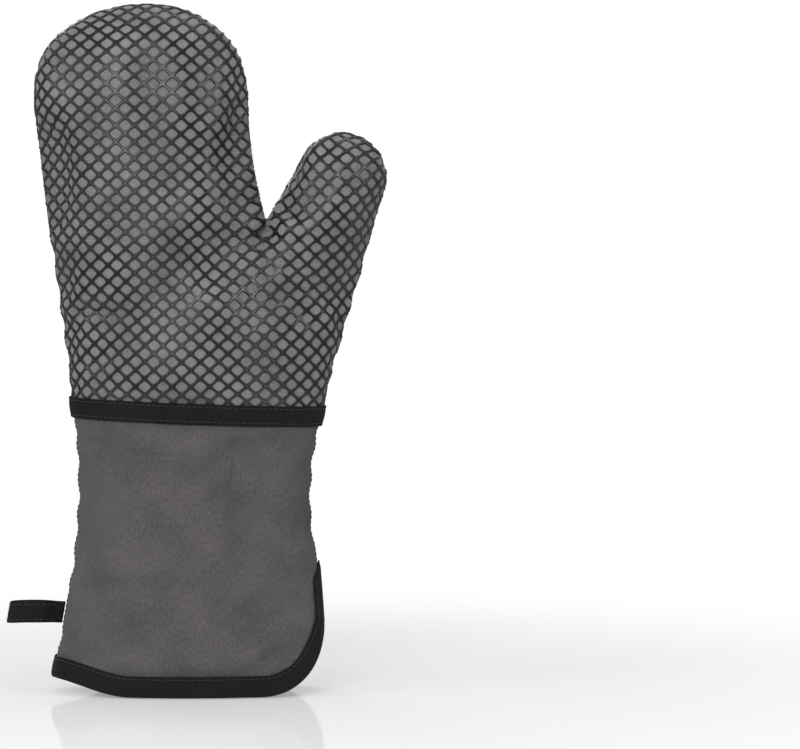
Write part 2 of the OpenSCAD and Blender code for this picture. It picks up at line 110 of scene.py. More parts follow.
floorMesh = bpy.data.meshes.new("floor")
floorMesh.from_pydata([(-4, -4, -0.0005), (4, -4, -0.0005), (4, 4, -0.0005), (-4, 4, -0.0005)], [],
                      [(0, 1, 2, 3)])
floorPiece = bpy.data.objects.new("floor", floorMesh)
bpy.context.scene.collection.objects.link(floorPiece)
floorPaint = bpy.data.materials.new("floorPaint")
floorPaint.use_nodes = True
floorTree = floorPaint.node_tree
floorShader = floorTree.nodes["Principled BSDF"]
floorShader.inputs["Base Color"].default_value = (0.8, 0.8, 0.8, 1)
floorShader.inputs["Roughness"].default_value = 0.07
floorShader.inputs["Emission Color"].default_value = (1, 1, 1, 1)
floorGlow = addNode(floorTree, "ShaderNodeMath", operation="MULTIPLY")
floorTree.links.new(seenDirectly(floorTree), floorGlow.inputs[0])
floorGlow.inputs[1].default_value = 0.30
floorTree.links.new(floorGlow.outputs[0], floorShader.inputs["Emission Strength"])
floorPlace = addNode(floorTree, "ShaderNodeTexCoord")
floorReach = addNode(floorTree, "ShaderNodeVectorMath", operation="LENGTH")
floorFade = addNode(floorTree, "ShaderNodeMapRange", interpolation_type="SMOOTHSTEP")
floorFade.inputs[1].default_value, floorFade.inputs[2].default_value = 0.16, 0.55
floorFade.inputs[3].default_value, floorFade.inputs[4].default_value = 1, 0
floorTree.links.new(floorPlace.outputs["Object"], floorReach.inputs[0])
floorTree.links.new(floorReach.outputs["Value"], floorFade.inputs[0])
floorTree.links.new(floorFade.outputs[0], floorShader.inputs["Alpha"])
floorMesh.materials.append(floorPaint)
print("room ready")

# shape of the mitt, in millimetres
mitt = {
    "length": 370, "cuff": 152, "handWidth": 116, "handDepth": 58, "fingerShift": 28,
    "fingerLean": 4, "fingerDome": 51, "notch": 254, "notchX": 39.5, "thumbWidth": 49,
    "thumbDepth": 44, "thumbLean": 22, "thumbOut": 40.5, "thumbUp": 24, "thumbRoot": 98,
    "palmRoot": 79, "hemWidth": 151, "hemDepth": 70, "hemShift": 3.5, "flare": 62,
    "flareWidth": 136, "waist": 106, "waistWidth": 128, "waistDepth": 58, "wristWidth": 136,
    "wristRise": 5, "hemRise": 8, "cornerWidth": 34, "cornerHeight": 38, "slitHeight": 63,
    "slitSpread": 6, "slitWidth": 2.2, "hemFoot": 1.5, "midX": 1.051, "blend": 50}
m = mitt
fingerTop = m["length"] - m["fingerDome"]
split = (m["notchX"] + m["palmRoot"]) / (m["thumbRoot"] + m["palmRoot"])
thumbMid = (m["notchX"] + m["thumbOut"], m["notch"] + m["thumbUp"])
slotTop = m["slitHeight"] - m["slitWidth"]
leftEdge = [(0, -m["hemShift"] - m["hemWidth"] / 2), (m["flare"], -m["flareWidth"] / 2),
            (m["waist"], -m["waistWidth"] / 2), (m["cuff"], 2 - m["wristWidth"] / 2),
            (m["notch"], -m["palmRoot"]), (fingerTop, -m["fingerShift"] - m["handWidth"] / 2)]
rightEdge = [(0, m["hemWidth"] / 2 - m["hemShift"]), (m["flare"], m["flareWidth"] / 2),
             (m["waist"], m["waistWidth"] / 2), (m["cuff"], 2 + m["wristWidth"] / 2),
             (m["notch"], m["thumbRoot"]), (m["notch"] + m["thumbUp"], m["thumbRoot"])]
halfDepth = [(0, m["hemDepth"] / 2), (m["flare"], (m["hemDepth"] + m["waistDepth"]) / 4),
             (m["waist"], m["waistDepth"] / 2), (m["cuff"], m["waistDepth"] / 2),
             (m["notch"], m["handDepth"] / 2), (fingerTop, m["handDepth"] / 2)]


def mix(a, b, t):
    return a + (b - a) * t


def smooth(t):
    t = min(1, max(0, t))
    return t * t * (3 - 2 * t)


def curve(stations, z):  # smooth line through (height, value) stations
    last = len(stations) - 1
    i = next((k for k in range(last) if z < stations[k + 1][0]), last - 1)

    def slope(k):
        a, b = stations[max(k - 1, 0)], stations[min(k + 1, last)]
        return (b[1] - a[1]) / (b[0] - a[0])
    high = stations[i + 1][0] - stations[i][0]
    t = min(1, max(0, (z - stations[i][0]) / high))
    a, b, p, q = stations[i][1], stations[i + 1][1], high * slope(i), high * slope(i + 1)
    return a + t * p + t * t * (3 * (b - a) - 2 * p - q) + t ** 3 * (2 * (a - b) + p + q)


def hemAt(s):
    q = min(1, max(0, 1 - (1 - s) * m["hemWidth"] / m["cornerWidth"]))
    corner = (m["cornerHeight"] - m["hemFoot"]) * (1 - sqrt(1 - q * q))
    return m["hemFoot"] + m["hemRise"] * (1 - smooth(s / 0.3)) + corner


def wristAt(s):
    return m["cuff"] + m["wristRise"] * (0.5 - s)


def slitGap(z):
    if z > m["slitHeight"]:
        return 0
    if z > slotTop:
        return m["slitWidth"] * (m["slitHeight"] - z) / m["slitWidth"]
    return mix(m["slitSpread"], m["slitWidth"], z / slotTop)


def trunkPoint(o, s, z, notch):  # o is the inset from the outermost face
    left, right = curve(leftEdge, z) + o, curve(rightEdge, z) - o
    two = smooth((z - notch + m["blend"]) / m["blend"])
    part = s / split if s < split else (s - split) / (1 - split)
    lobe = (m["handDepth"] if s < split else m["thumbDepth"]) / 2 - o
    arch, lobeArch = 4 * s * (1 - s), 4 * part * (1 - part)
    deep = sqrt(max(0, (1 - two) * (curve(halfDepth, z) - o) ** 2 * arch + two * lobe ** 2 * lobeArch))
    return Vector((mix(left, right, s), -deep - slitGap(z) * smooth((s - 0.7) / 0.3), z))


def disc(u, t, power):
    x, y = u * sqrt(1 - t * t / 2), t * sqrt(1 - u * u / 2)
    r = hypot(x, y)
    f = 1 if r < 1e-6 else r / (abs(x) ** power + abs(y) ** power) ** (1 / power)
    return x * f, y * f, sqrt(max(0, 1 - r * r))


def fingerPoint(o, u, t, dome, notch):  # t climbs the straight part, dome the rounded end
    half, deep = m["handWidth"] / 2 - o, m["handDepth"] / 2 - o
    lean = radians(m["fingerLean"])
    if dome == 0:
        z = mix(notch, fingerTop, t)
        left = curve(leftEdge, z) + o
        notchX = trunkPoint(o, split, notch, notch)[0]
        right = mix(half - m["fingerShift"], notchX, (1 - t) ** 2)
        x = mix(left, right, (1 + u) / 2)
        return Vector((x, -deep * sqrt(max(0, 1 - u * u)), z + (x - (left + right) / 2) * sin(lean * t)))
    px, pz, py = disc(u, sin(pi / 2 * dome), 2.25)
    x, z = half * px, (m["fingerDome"] - o) * pz
    return Vector((x * cos(lean) - z * sin(lean) - m["fingerShift"], -deep * py,
                   fingerTop + x * sin(lean) + z * cos(lean)))


def thumbPoint(o, u, t, dome, notch):
    half, deep = m["thumbWidth"] / 2 - o, m["thumbDepth"] / 2 - o
    lean = radians(m["thumbLean"])
    if dome == 0:
        left, right = trunkPoint(o, split, notch, notch)[0], trunkPoint(o, 1, notch, notch)[0]
        endX, endZ = thumbMid[0] + half * u * cos(lean), thumbMid[1] - half * u * sin(lean)
        return Vector((mix(mix(left, right, (1 + u) / 2), endX, t),
                       -deep * sqrt(max(0, 1 - u * u)), mix(notch, endZ, t)))
    px, pz, py = disc(u, sin(pi / 2 * dome), 2)
    return Vector((thumbMid[0] + half * (px * cos(lean) + pz * sin(lean)), -deep * py,
                   thumbMid[1] + half * (pz * cos(lean) - px * sin(lean))))


def buildPanel(inset, cols, cuffRows, palmRows, fingerRows, thumbRows, hand=True):
    # One side of the mitt as points, quads and the flat pattern that it was cut from
    at = inset if callable(inset) else (lambda z: inset)
    o = at(300)
    notch = m["notch"] - 1.6 * (o - 0.8)
    points, flats, quads, zones = [], [], [], []

    def across(c):
        if c <= cols[0]:
            return split * (1 - cos(pi * c / cols[0])) / 2
        return split + (1 - split) * (1 - cos(pi * (c - cols[0]) / cols[1])) / 2
    wide = cols[0] + cols[1]
    middle = cols[0] // 2

    def flatRow(row, ref, refU, heights):  # widths run along the cloth from a middle column
        us = [0] * len(row)
        us[ref] = refU
        for k in range(ref + 1, len(row)):
            us[k] = us[k - 1] + hypot(row[k][0] - row[k - 1][0], row[k][1] - row[k - 1][1])
        for k in range(ref - 1, -1, -1):
            us[k] = us[k + 1] - hypot(row[k][0] - row[k + 1][0], row[k][1] - row[k + 1][1])
        return list(zip(us, heights))

    def climb(row, before, heights):  # heights run up the cloth along each column
        return [h + hypot(p[1] - q[1], p[2] - q[2]) for p, q, h in zip(row, before, heights)]
    rows = []
    heights = None
    for r in range(cuffRows + palmRows + 1):
        row = []
        for c in range(wide + 1):
            s = across(c)
            z = mix(hemAt(s), wristAt(s), r / cuffRows) if r <= cuffRows else \
                mix(wristAt(s), notch, (r - cuffRows) / palmRows)
            row.append(trunkPoint(at(z), s, z, notch))
        plainRow = [trunkPoint(at(p[2]), across(c), p[2], 1e9) for c, p in enumerate(row)]
        heights = [p[2] for p in row]
        rows.append([len(points) + k for k in range(wide + 1)])
        points += row
        flats += flatRow(plainRow, middle, row[middle][0], heights)
        zones += ["cuff" if r < cuffRows else "hand"] * (wide + 1)

    def joinRows(low, high, zone):
        for k in range(len(low) - 1):
            quads.append((low[k], low[k + 1], high[k + 1], high[k], zone))
    for r in range(cuffRows + palmRows):
        joinRows(rows[r], rows[r + 1], "cuff" if r < cuffRows else "hand")
    if hand:
        top = rows[-1]
        for maker, first, count, (plain, dome) in ((fingerPoint, 0, cols[0], fingerRows),
                                                   (thumbPoint, cols[0], cols[1], thumbRows)):
            low = top[first:first + count + 1]
            before = [points[k] for k in low]
            climbing = [flats[k][1] for k in low]
            ref = count // 2
            startUs, startX = [flats[k][0] for k in low], before[ref][0]
            for r in range(1, plain + dome + 1):
                row = [maker(o, -cos(pi * c / count), min(1, r / plain), max(0, r - plain) / dome, notch)
                       for c in range(count + 1)]
                climbing = climb(row, before, climbing)
                high = [len(points) + k for k in range(count + 1)]
                points += row
                moved = row[ref][0] - startX
                own = flatRow(row, ref, startUs[ref] + moved, climbing)
                flats += [(mix(a + moved, b[0], smooth(r / plain)), b[1]) for a, b in zip(startUs, own)]
                zones += ["hand"] * (count + 1)
                joinRows(low, high, "hand")
                low, before = high, row
    return points, flats, quads, zones


def toMetres(p):
    return Vector(((p[0] - m["midX"]) * mm, p[1] * mm, p[2] * mm))


def meshPiece(name, points, faces, flats=None, smoothShade=True):
    mesh = bpy.data.meshes.new(name)
    mesh.from_pydata([toMetres(p) for p in points], [], faces)
    if flats:
        layer = mesh.uv_layers.new(name="flat")
        for loop in mesh.loops:
            u, v = flats[loop.vertex_index]
            layer.data[loop.index].uv = (u / 100, v / 100)
    for face in mesh.polygons:
        face.use_smooth = smoothShade
    mesh.validate()
    piece = bpy.data.objects.new(name, mesh)
    bpy.context.scene.collection.objects.link(piece)
    return piece


# the sewn outer cloth, puffed by its batting
cloth = {"inset": 0.8, "thick": 1.0, "cols": (36, 22), "cuffRows": 42, "palmRows": 30,
         "fingerRows": (18, 14), "thumbRows": (7, 11), "cap": 3.2, "frames": 18, "pressure": 2.2,
         "grow": 0.03, "quiltPitch": 13.2, "quiltDepth": 0.9}

points, flats, quads, zones = buildPanel(cloth["inset"], cloth["cols"], cloth["cuffRows"],
                                         cloth["palmRows"], cloth["fingerRows"], cloth["thumbRows"])
count = len(points)
print("outer cloth", count, "points a side")


def pinned(p, s=None):
    x, y, z = p
    if abs(y) < 0.01 or z < 14 or abs(z - m["cuff"]) < 8.5:
        return 1
    edgeRight = curve(rightEdge, z) - cloth["inset"]
    if z < m["slitHeight"] + 12 and x > edgeRight - 12:
        return 1
    return 0


def puffCloth():
    both = points + [Vector((p[0], -p[1], p[2])) for p in points]
    faces = [q[:4] for q in quads] + [(q[3] + count, q[2] + count, q[1] + count, q[0] + count)
                                      for q in quads]
    rest = [toMetres(p) for p in both]
    bag = bpy.data.meshes.new("bag")
    bag.from_pydata(rest, [], faces)
    tool = bmesh.new()
    tool.from_mesh(bag)
    tool.verts.ensure_lookup_table()
    mark = tool.verts.layers.int.new("place")
    for v in tool.verts:
        v[mark] = v.index
    welded = bmesh.ops.find_doubles(tool, verts=tool.verts, dist=1e-6)["targetmap"]
    twin = {a[mark]: b[mark] for a, b in welded.items()}
    bmesh.ops.weld_verts(tool, targetmap=welded)
    tool.verts.ensure_lookup_table()
    places = [v[mark] for v in tool.verts]
    tool.to_mesh(bag)
    tool.free()
    bagPiece = bpy.data.objects.new("bag", bag)
    bpy.context.scene.collection.objects.link(bagPiece)
    held = bagPiece.vertex_groups.new(name="held")
    for k, place in enumerate(places):
        if pinned(both[place]):
            held.add([k], 1, "REPLACE")
    sim = bagPiece.modifiers.new("cloth", "CLOTH")
    s = sim.settings
    s.quality, s.mass = 7, 0.3
    s.tension_stiffness = s.compression_stiffness = 12
    s.shear_stiffness, s.bending_stiffness = 4, 0.06
    s.tension_damping = s.compression_damping = s.shear_damping = 8
    s.use_pressure, s.uniform_pressure_force = True, cloth["pressure"]
    s.shrink_min = -cloth["grow"]
    s.vertex_group_mass = "held"
    s.effector_weights.gravity = 0
    sim.collision_settings.use_collision = False
    scene = bpy.context.scene
    scene.frame_start, scene.frame_end = 1, cloth["frames"]
    sim.point_cache.frame_start, sim.point_cache.frame_end = 1, cloth["frames"]
    for f in range(1, cloth["frames"] + 1):
        scene.frame_set(f)
    result = bagPiece.evaluated_get(bpy.context.evaluated_depsgraph_get()).data
    moved = {place: result.vertices[k].co.copy() for k, place in enumerate(places)}
    far = 0
    out = []
    for k, p in enumerate(both):
        now = moved.get(k) or moved.get(twin.get(k)) or rest[k]
        step = (now - rest[k]) / mm
        far = max(far, step.length)
        if step.length > cloth["cap"]:
            step *= cloth["cap"] / step.length
        out.append(p + step)
    scene.frame_set(1)
    bpy.data.objects.remove(bagPiece)
    print("cloth moved up to", round(far, 2), "mm before the cap")
    return out


puffed = puffCloth()


def quilt(u, v):  # puffs between diagonal quilting lines
    p = cloth["quiltPitch"]
    a, b = abs(sin(pi * (u + v) / (p * sqrt(2)))), abs(sin(pi * (u - v) / (p * sqrt(2))))
    return (min(a, b) ** 0.5 - 0.6) * cloth["quiltDepth"]


folds = [  # start, end, width, depth: soft creases, and below 0 soft ridges
    ((42, 250), (72, 212), 6.0, 2.8), ((54, 246), (84, 226), 4.5, 1.7),
    ((66, 236), (90, 236), 4.0, 1.4), ((38, 244), (24, 200), 8.0, 2.0),
    ((60, 205), (76, 180), 6.0, 1.3), ((-24, 340), (-4, 215), 15.0, 2.3),
    ((2, 330), (-14, 290), 9.0, -0.9), ((-8, 230), (22, 165), 13.0, 1.8),
    ((-72, 300), (-62, 200), 9.0, 1.3), ((24, 330), (20, 262), 8.0, 1.5),
    ((74, 292), (66, 250), 7.0, 1.5), ((-50, 262), (-22, 276), 10.0, -0.8)]


def foldDepth(x, z):
    deep = 0
    for a, b, wide, depth in folds:
        dx, dz = b[0] - a[0], b[1] - a[1]
        t = min(1, max(0, ((x - a[0]) * dx + (z - a[1]) * dz) / (dx * dx + dz * dz)))
        off = hypot(x - a[0] - t * dx, z - a[1] - t * dz)
        deep += depth * max(0, 1 - (off / wide) ** 2) ** 2 * (1 - 0.7 * t)
        deep -= 0.35 * depth * max(0, 1 - ((off - 1.5 * wide) / wide) ** 2) ** 2 * (1 - t)
    return deep


def detailed(sidePoints, sign):  # quilting, folds and small unevenness pushed along the normals
    mesh = bpy.data.meshes.new("rough")
    mesh.from_pydata(sidePoints, [], [q[:4] for q in quads])
    normals = [v.normal.copy() * (1 if sign < 0 else -1) for v in mesh.vertices]
    out = []
    for p, n, (u, v), zone in zip(sidePoints, normals, flats, zones):
        x, y, z = p
        edge = smooth(abs(y) / 9) * smooth((z - 8) / 14) * smooth((abs(z - m["cuff"]) - 6) / 10)
        lift = 1.5 * noise.noise(Vector((u / 34 + sign * 5, v / 30, 3))) + \
            0.45 * noise.noise(Vector((u / 12, v / 10, sign * 9)))
        if zone == "cuff":
            lift += quilt(u, v)
        lift -= foldDepth(x, z) * (1 if sign < 0 else 0.8)
        lift = max(lift, -0.8 if zone == "cuff" else -3)  # the cloth stays over its batting
        pull = 0
        if 16 < z < 242:  # the side seams draw in between the quilted puffs
            close = (1 - smooth(abs(y) / 16)) * smooth((abs(z - m["cuff"]) - 6) / 8) * smooth((z - 16) / 10)
            ripple = 0.5 - 0.5 * cos(2 * pi * (z - 4) / 18.5) + 0.3 * noise.noise(Vector((z / 9, x > 0, 1)))
            pull = (1 if x < 0 else -1) * 1.3 * ripple * close
            if x > 0 and z < m["slitHeight"] + 14:
                pull = 0
            if x < 0:  # the sewn in loop holds the seam out
                pull *= smooth((abs(z - 43) - 7) / 9)
        out.append(p + n * lift * edge + Vector((pull, 0, 0)))
    bpy.data.meshes.remove(mesh)
    return out


sides = {"front": detailed(puffed[:count], -1), "back": detailed(puffed[count:], 1)}
print("outer cloth shaped")


def fine(name, sidePoints, wanted, back):  # one zone of a side as a subdivided piece
    faces = [(q[3], q[2], q[1], q[0]) if back else q[:4] for q in quads if q[4] == wanted]
    used = sorted({k for f in faces for k in f})
    renum = {k: i for i, k in enumerate(used)}
    piece = meshPiece(name, [sidePoints[k] for k in used],
                      [tuple(renum[k] for k in f) for f in faces], [flats[k] for k in used])
    sub = piece.modifiers.new("sub", "SUBSURF")
    sub.levels = sub.render_levels = 1
    bpy.context.view_layer.update()
    mesh = bpy.data.meshes.new_from_object(piece.evaluated_get(bpy.context.evaluated_depsgraph_get()))
    piece.modifiers.clear()
    piece.data = mesh
    return piece


def addThickness(piece, thick):
    wall = piece.modifiers.new("thickness", "SOLIDIFY")
    wall.thickness, wall.offset = thick * mm, -1
    wall.use_quality_normals = True


outer = {}
for side in ("front", "back"):
    for zone in ("hand", "cuff"):
        outer[side, zone] = fine(zone + "Cloth_" + side, sides[side], zone, side == "back")

# silicone lattice
lattice = {"across": 9.8, "up": 8.6, "rib": 0.67, "height": 0.8, "corner": 1.24, "points": 12}
notchX = min((p for p in sides["front"] if abs(p[2] - m["notch"]) < 4 and abs(p[0] - 42) < 16),
             key=lambda p: abs(p[1]))[0]


def cellOutline(scale, power):
    ring = []
    n = lattice["points"] // 4
    a, b = lattice["across"] / 2, lattice["up"] / 2
    corners = [(a, 0), (0, b), (-a, 0), (0, -b)]
    for k in range(4):
        for j in range(n):
            t = j / n
            x = mix(corners[k][0], corners[(k + 1) % 4][0], t)
            y = mix(corners[k][1], corners[(k + 1) % 4][1], t)
            f = 1 / (abs(x / a) ** power + abs(y / b) ** power) ** (1 / power)
            ring.append((x * f * scale, y * f * scale))
    return ring


def buildLattice(side):
    base = outer[side, "hand"].data
    uv = base.uv_layers["flat"].data
    spots = [None] * len(base.vertices)
    for loop in base.loops:
        spots[loop.vertex_index] = Vector((uv[loop.index].uv[0] * 100, uv[loop.index].uv[1] * 100, 0))
    faces = [tuple(f.vertices) for f in base.polygons]
    tree = BVHTree.FromPolygons(spots, faces)
    places = [v.co / mm for v in base.vertices]
    normals = [v.normal.copy() for v in base.vertices]
    hole, corner = lattice["rib"], lattice["corner"]
    profile = [(1.0, 1.0, 0.92), (hole + 0.14, 1.2, 1.0), (hole + 0.06, corner, 0.9), (hole, corner, -0.25)]
    rings = [(cellOutline(scale, power), h * lattice["height"]) for scale, power, h in profile]
    lows = [min(s[k] for s in spots) for k in (0, 1)]
    highs = [max(s[k] for s in spots) for k in (0, 1)]
    verts, quadsOut, tops, uvs = [], [], [], []
    known = {}
    n = lattice["points"]

    def drape(u, v, h, level):
        key = (round(u, 3), round(v, 3), level)
        if key in known:
            return known[key]
        spot, _, index, off = tree.find_nearest(Vector((u, v, 0)))
        face = faces[index]
        weights = poly_3d_calc([spots[k] for k in face], spot)
        p, normal = Vector(), Vector()
        for k, w in zip(face, weights):
            p += places[k] * w
            normal += normals[k] * w
        edge = 0.35 if off > 0.05 else 1
        verts.append(p + normal.normalized() * h * edge)
        tops.append(level)
        uvs.append((spot[0], spot[1]))
        known[key] = len(verts) - 1
        return known[key]
    a, b = lattice["across"] / 2, lattice["up"] / 2
    for i in range(int(lows[0] / a) - 1, int(highs[0] / a) + 2):
        for j in range(int(lows[1] / b) - 1, int(highs[1] / b) + 2):
            if (i + j) % 2:
                continue
            cu, cv = i * a, j * b
            if tree.find_nearest(Vector((cu, cv, 0)))[3] > 3.4:
                continue
            loops = [[drape(cu + x, cv + y, h, level) for x, y in ring]
                     for level, (ring, h) in enumerate(rings)]
            for low, high in zip(loops, loops[1:]):
                for k in range(n):
                    q = (low[k], low[(k + 1) % n], high[(k + 1) % n], high[k])
                    wide = max((verts[q[e]] - verts[q[e - 1]]).length for e in range(4))
                    web = max(verts[k][2] for k in q) > m["notch"] - 2 and \
                        min(verts[k][0] for k in q) < notchX < max(verts[k][0] for k in q)
                    if len(set(q)) == 4 and wide < 6 and not web:  # none spans from finger to thumb
                        quadsOut.append(q)
    mesh = bpy.data.meshes.new("silicone_" + side)
    mesh.from_pydata([p * mm for p in verts], [], quadsOut)
    layer = mesh.uv_layers.new(name="flat")
    rib = mesh.color_attributes.new("ribTop", "FLOAT_COLOR", "POINT")
    for k, level in enumerate(tops):
        value = (1, 0.8, 0.35, 0)[level]
        rib.data[k].color = (value, value, value, 1)
    for loop in mesh.loops:
        u, v = uvs[loop.vertex_index]
        layer.data[loop.index].uv = (u / 100, v / 100)
    for face in mesh.polygons:
        face.use_smooth = True
    mesh.validate()
    piece = bpy.data.objects.new("siliconeGrip_" + side, mesh)
    bpy.context.scene.collection.objects.link(piece)
    return piece


silicone = {side: buildLattice(side) for side in ("front", "back")}
print("silicone lattice", len(silicone["front"].data.polygons), "faces a side")

# batting and lining
fill = {"hem": 2.5, "full": 5.5, "swell": 26}
lining = {"thick": 1.2, "cols": (24, 16), "cuffRows": 22, "palmRows": 14, "fingerRows": (8, 8),
          "thumbRows": (4, 6), "quilt": 0.5}


def battingAt(z):
    return mix(fill["hem"], fill["full"], smooth((z - m["hemFoot"]) / fill["swell"]))


def openEdges(faces):
    seen = {}
    for f in faces:
        for k in range(4):
            a, b = f[k], f[(k + 1) % 4]
            if (b, a) in seen:
                del seen[(b, a)]
            else:
                seen[(a, b)] = True
    return list(seen)


innerPoints = buildPanel(lambda z: 1.7 + battingAt(z), cloth["cols"], cloth["cuffRows"],
                         cloth["palmRows"], cloth["fingerRows"], cloth["thumbRows"])[0]
batting = {}
for side, sign in (("front", 1), ("back", -1)):
    skin = sides[side]
    mesh = bpy.data.meshes.new("skin")
    mesh.from_pydata(skin, [], [q[:4] for q in quads])
    under = []
    for p, v, inner in zip(skin, mesh.vertices, innerPoints):
        q = p - v.normal * sign * 1.2
        q[1] = min(q[1], -0.4) if sign > 0 else max(q[1], 0.4)
        under.append(q)
    bpy.data.meshes.remove(mesh)
    within = [Vector((p[0], min(p[1], -0.4) * sign, p[2])) for p in innerPoints]
    faces = [q[:4] for q in quads] + [(q[3] + count, q[2] + count, q[1] + count, q[0] + count)
                                      for q in quads]
    faces += [(b, a, a + count, b + count) for a, b in openEdges([q[:4] for q in quads])]
    if sign < 0:
        faces = [tuple(reversed(f)) for f in faces]
    batting[side] = meshPiece("battingFill_" + side, under + within, faces, flats + flats)

linePoints, lineFlats, lineQuads, _ = buildPanel(
    lambda z: 1.85 + battingAt(z), lining["cols"], lining["cuffRows"], lining["palmRows"],
    lining["fingerRows"], lining["thumbRows"])
liningPiece = {}
for side, sign in (("front", 1), ("back", -1)):
    shaped = []
    for p, (u, v) in zip(linePoints, lineFlats):
        puff = lining["quilt"] * abs(sin(pi * (u + v) / 46) * sin(pi * (u - v) / 46)) * smooth(abs(p[1]) / 8)
        shaped.append(Vector((p[0], (p[1] + puff) * sign, p[2])))
    faces = [q[:4] for q in lineQuads]
    if sign < 0:
        faces = [tuple(reversed(f)) for f in faces]
    liningPiece[side] = meshPiece("liningCloth_" + side, shaped, faces, lineFlats)
    addThickness(liningPiece[side], lining["thick"])
for key, piece in outer.items():
    addThickness(piece, cloth["thick"])
print("batting and lining ready")


# tapes
def sweepPiece(name, rings, closed, along):
    n, size = len(rings), len(rings[0])
    pts = [p for ring in rings for p in ring]
    around = [0]
    for a, b in zip(rings[n // 3], rings[n // 3][1:]):
        around.append(around[-1] + (b - a).length)
    uvs = [(along[i], around[j]) for i in range(n) for j in range(size)]
    faces = []
    for i in range(n if closed else n - 1):
        for j in range(size):
            a, b, k = i * size, ((i + 1) % n) * size, (j + 1) % size
            faces.append((b + j, b + k, a + k, a + j))
    if not closed:
        faces += [tuple(range(size)), tuple(range(n * size - 1, (n - 1) * size - 1, -1))]
    return meshPiece(name, pts, faces, uvs)


def lengths(line):
    out = [0]
    for a, b in zip(line, line[1:]):
        out.append(out[-1] + (b - a).length)
    return out


def outwards(p):
    z = p[2]
    mid = (curve(leftEdge, z) + curve(rightEdge, z)) / 2
    a, b = (curve(rightEdge, z) - curve(leftEdge, z)) / 2, curve(halfDepth, z)
    return Vector(((p[0] - mid) / a ** 2, p[1] / b ** 2, 0)).normalized()


def stitchRow(name, rows, pitch=3.1, length=2.3, radius=0.24):
    # rows: lines of (point, outward); each stitch is a short thread that dives at both ends
    verts, faces = [], []
    for row in rows:
        line = [p for p, _ in row]
        runs = lengths(line)
        stitches = int(runs[-1] / pitch)
        k = 0
        for s in range(stitches):
            middle = (s + 0.5) * runs[-1] / stitches
            while k < len(runs) - 2 and runs[k + 1] < middle:
                k += 1
            t = (middle - runs[k]) / max(1e-6, runs[k + 1] - runs[k])
            p = line[k].lerp(line[k + 1], t)
            out = row[k][1].lerp(row[k + 1][1], t).normalized()
            go = (line[k + 1] - line[k]).normalized()
            cross = go.cross(out).normalized()
            go = (go + cross * random.uniform(-0.05, 0.05)).normalized()
            base = len(verts)
            for step, size, sink in ((-1, 0.35, 0.5), (-0.8, 0.8, 0.16), (-0.3, 1, 0), (0.3, 1, 0),
                                     (0.8, 0.8, 0.16), (1, 0.35, 0.5)):
                middlePoint = p + go * step * length / 2 - out * sink * radius * 2
                for a in range(6):
                    verts.append(middlePoint + radius * size * (cross * cos(pi * a / 3) + out * sin(pi * a / 3)))
            for r in range(5):
                for a in range(6):
                    c = (a + 1) % 6
                    faces.append((base + r * 6 + a, base + r * 6 + c,
                                  base + r * 6 + 6 + c, base + r * 6 + 6 + a))
            faces += [tuple(base + a for a in range(5, -1, -1)), tuple(base + 30 + a for a in range(6))]
    return meshPiece(name, verts, faces, [(p[0] + p[1], p[2]) for p in verts])


wristBand = {"half": 5.5, "stitch": 1.6, "steps": 120,
             "shape": [(-0.22, -5.2), (-0.6, -5.55), (-1.0, -5.2), (-1.1, -4.6), (-0.95, -3.9),
                       (-1.12, -3.2), (-1.27, -1.6), (-1.3, 0), (-1.27, 1.6), (-1.12, 3.2),
                       (-0.95, 3.9), (-1.1, 4.6), (-1.0, 5.2), (-0.6, 5.55), (-0.22, 5.2), (-0.22, 0)]}
pieces = {}
for side, sign in (("front", 1), ("back", -1)):
    rings = []
    for k in range(wristBand["steps"] + 1):
        s = (1 - cos(pi * k / wristBand["steps"])) / 2
        wave = 0.22 * noise.noise(Vector((k / 5, sign * 3, 0)))
        ring = [trunkPoint(o, s, wristAt(s) + h + wave, m["notch"]) for o, h in wristBand["shape"]]
        rings.append([Vector((p[0], p[1] * sign, p[2])) for p in ring][::sign])
    pieces["wristBinding_" + side] = sweepPiece("wristBinding_" + side, rings, False,
                                                lengths([r[8] for r in rings]))
    rows = []
    for h in (-1, 1):
        row = []
        for k in range(2, wristBand["steps"] - 1):
            s = (1 - cos(pi * k / wristBand["steps"])) / 2
            p = trunkPoint(-1.08, s, wristAt(s) + h * (wristBand["half"] - wristBand["stitch"]), m["notch"])
            p = Vector((p[0], p[1] * sign, p[2]))
            row.append((p, outwards(p)))
        rows.append(row)
    pieces["wristStitching_" + side] = stitchRow("wristStitching_" + side, rows)

# the thread of the side seams follows the drawn in edge of the outer cloth
edgeUse, around = {}, {}
for q in quads:
    for e in range(4):
        key = tuple(sorted((q[e], q[(e + 1) % 4])))
        edgeUse[key] = edgeUse.get(key, 0) + 1
for (a, b), uses in edgeUse.items():
    if uses == 1:
        around.setdefault(a, []).append(b)
        around.setdefault(b, []).append(a)
ring = [min(around)]
while len(ring) < len(around):
    ahead = [k for k in around[ring[-1]] if k not in ring[-2:] and k != ring[0]]
    if not ahead:
        break
    ring.append(ahead[0])
seam = [(sides["front"][k] + sides["back"][k]) / 2 for k in ring]
sewn = [p[2] > 15 and not (p[0] > 0 and p[2] < m["slitHeight"] + 3) for p in seam]
first = next(k for k in range(len(seam)) if sewn[k] and not sewn[k - 1])
seam = [seam[(first + k) % len(seam)] for k in range(sum(sewn))]
turn = 1 if (seam[1] - seam[0]).cross(Vector((0, 1, 0)))[0] * (seam[0][0] - m["midX"]) > 0 else -1
row = []
for k, p in enumerate(seam):
    go = seam[min(k + 2, len(seam) - 1)] - seam[max(k - 2, 0)]
    out = go.cross(Vector((0, 1, 0))).normalized() * turn
    row.append((Vector((p[0], 0, p[2])) + out * 0.1, out))
